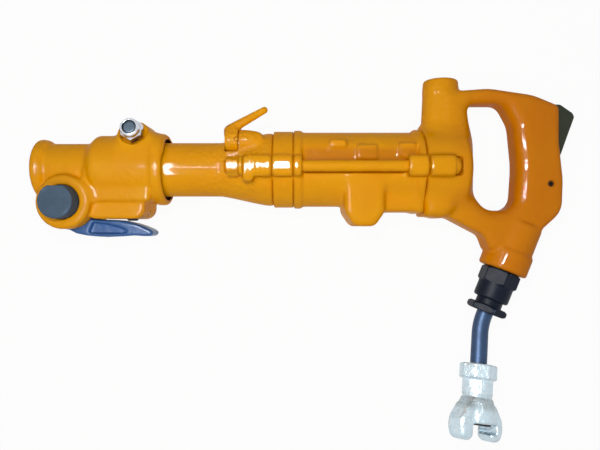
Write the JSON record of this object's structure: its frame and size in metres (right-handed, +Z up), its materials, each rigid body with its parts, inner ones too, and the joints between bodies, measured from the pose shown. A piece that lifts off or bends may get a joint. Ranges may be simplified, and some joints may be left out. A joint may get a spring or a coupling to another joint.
{
  "type": "pneumatic rock drill",
  "caption": "Hand-held pneumatic rock drill with D-handle, trigger, steel-retaining latch, side rods, blow valve and bent swivel inlet with claw coupling.",
  "frame": {"origin": "middle of the bounding box in X and Y, at the height of the far lug faces and the latch pin's far end, on which the drill lies", "axes": "+X along the drill axis from the nose to the handle, +Y towards the throttle tower, +Z up from the ground on which it lies"},
  "size_m": [0.5022, 0.3374, 0.0922],
  "materials": {
    "paint": "thick glossy orange-yellow enamel over cast and forged steel",
    "dark_steel": "blackened forged steel, satin",
    "pin_steel": "blued round bar, matt end face",
    "zinc": "zinc-plated, bright on the nut and rough cast on the coupling",
    "machined": "turned and ground steel with an oil film",
    "bronze": "turned bronze",
    "trigger_paint": "dark grey-green matt coat",
    "rubber": "black nitrile rubber"
  },
  "bodies": {
    "casing": {"front_head": "paint", "plunger_pin": "machined", "plunger_spring": "machined", "clamp_bolt": "dark_steel", "clamp_nut": "zinc", "barrel": "paint", "centre_ring": "paint", "stem_bushing": "bronze", "cylinder": "paint", "side_rod_near": "paint", "side_rod_far": "paint", "side_rod_nut_near": "paint", "side_rod_nut_far": "paint", "side_rod_washer_near": "paint", "side_rod_washer_far": "paint", "handle": "paint", "tower_plug": "paint", "trigger_pin": "bronze", "throttle_bushing": "bronze", "throttle_spring": "machined", "inlet_bushing": "dark_steel", "gland_nut": "dark_steel", "inlet_strainer": "bronze", "ratchet_ring": "machined", "rear_bearing_plate": "bronze", "valve_chest": "machined", "valve_cover": "machined"},
    "latch": {"latch_pin": "pin_steel", "latch_lever": "dark_steel", "latch_key_pin": "machined"},
    "plunger": {"latch_plunger": "machined"},
    "blow_valve": {"blow_valve_lever": "paint", "blow_valve_spindle": "machined", "blow_valve_cross_pin": "machined"},
    "trigger": {"trigger": "trigger_paint"},
    "throttle": {"throttle_valve": "machined"},
    "swivel": {"swivel_tube": "dark_steel", "swivel_seal": "rubber", "coupling_body": "zinc", "coupling_gasket": "rubber"},
    "chuck": {"chuck_sleeve": "machined", "chuck_bushing": "machined", "chuck_driver": "bronze"},
    "piston": {"piston": "machined", "rifle_nut": "bronze"},
    "rifle": {"rifle_bar": "machined", "pawl_1": "machined", "pawl_2": "machined", "pawl_3": "machined", "pawl_4": "machined"},
    "valve": {"valve_plate": "machined"}
  },
  "joints": [
    {"name": "latch_turn", "type": "hinge", "parent": "casing", "child": "latch", "pos_m": [-0.21961, 0.05289, 0.046], "axis": [0, 0, 1], "range_deg": [-65, 0]},
    {"name": "plunger_press", "type": "slide", "parent": "casing", "child": "plunger", "axis": [0, 1, 0], "range_m": [0, 0.004], "stiffness_N_per_m": 3000, "springref_m": -0.004, "deforming": ["plunger_spring"]},
    {"name": "blow_valve_turn", "type": "hinge", "parent": "casing", "child": "blow_valve", "pos_m": [-0.0687, 0.10938, 0.065], "axis": [1, 0, 0], "range_deg": [0, 90]},
    {"name": "trigger_press", "type": "hinge", "parent": "casing", "child": "trigger", "pos_m": [0.22499, 0.07018, 0.046], "axis": [0, 0, 1], "range_deg": [0, 10], "stiffness_Nm_per_rad": 1.5, "springref_deg": -11.46},
    {"name": "throttle_slide", "type": "slide", "parent": "casing", "child": "throttle", "axis": [-1, 0, 0], "range_m": [0, 0.0036], "deforming": ["throttle_spring"]},
    {"name": "swivel_turn", "type": "hinge", "parent": "casing", "child": "swivel", "pos_m": [0.18519, -0.01091, 0.046], "axis": [-0.3681, -0.9298, 0], "continuous": true},
    {"name": "chuck_spin", "type": "hinge", "parent": "casing", "child": "chuck", "pos_m": [-0.1, 0.08439, 0.046], "axis": [1, 0, 0], "continuous": true},
    {"name": "piston_stroke", "type": "slide", "parent": "chuck", "child": "piston", "axis": [-1, 0, 0], "range_m": [0, 0.042]},
    {"name": "rifle_turn", "type": "hinge", "parent": "chuck", "child": "rifle", "pos_m": [0.1, 0.08439, 0.046], "axis": [1, 0, 0], "range_deg": [0, 20]},
    {"name": "valve_shift", "type": "slide", "parent": "casing", "child": "valve", "axis": [1, 0, 0], "range_m": [0, 0.0012]}
  ],
  "couplings": [
    {"joint": "throttle_slide", "follows": "trigger_press", "m_per_rad": 0.02},
    {"joint": "rifle_turn", "follows": "piston_stroke", "rad_per_m": 8.2674}
  ]
}
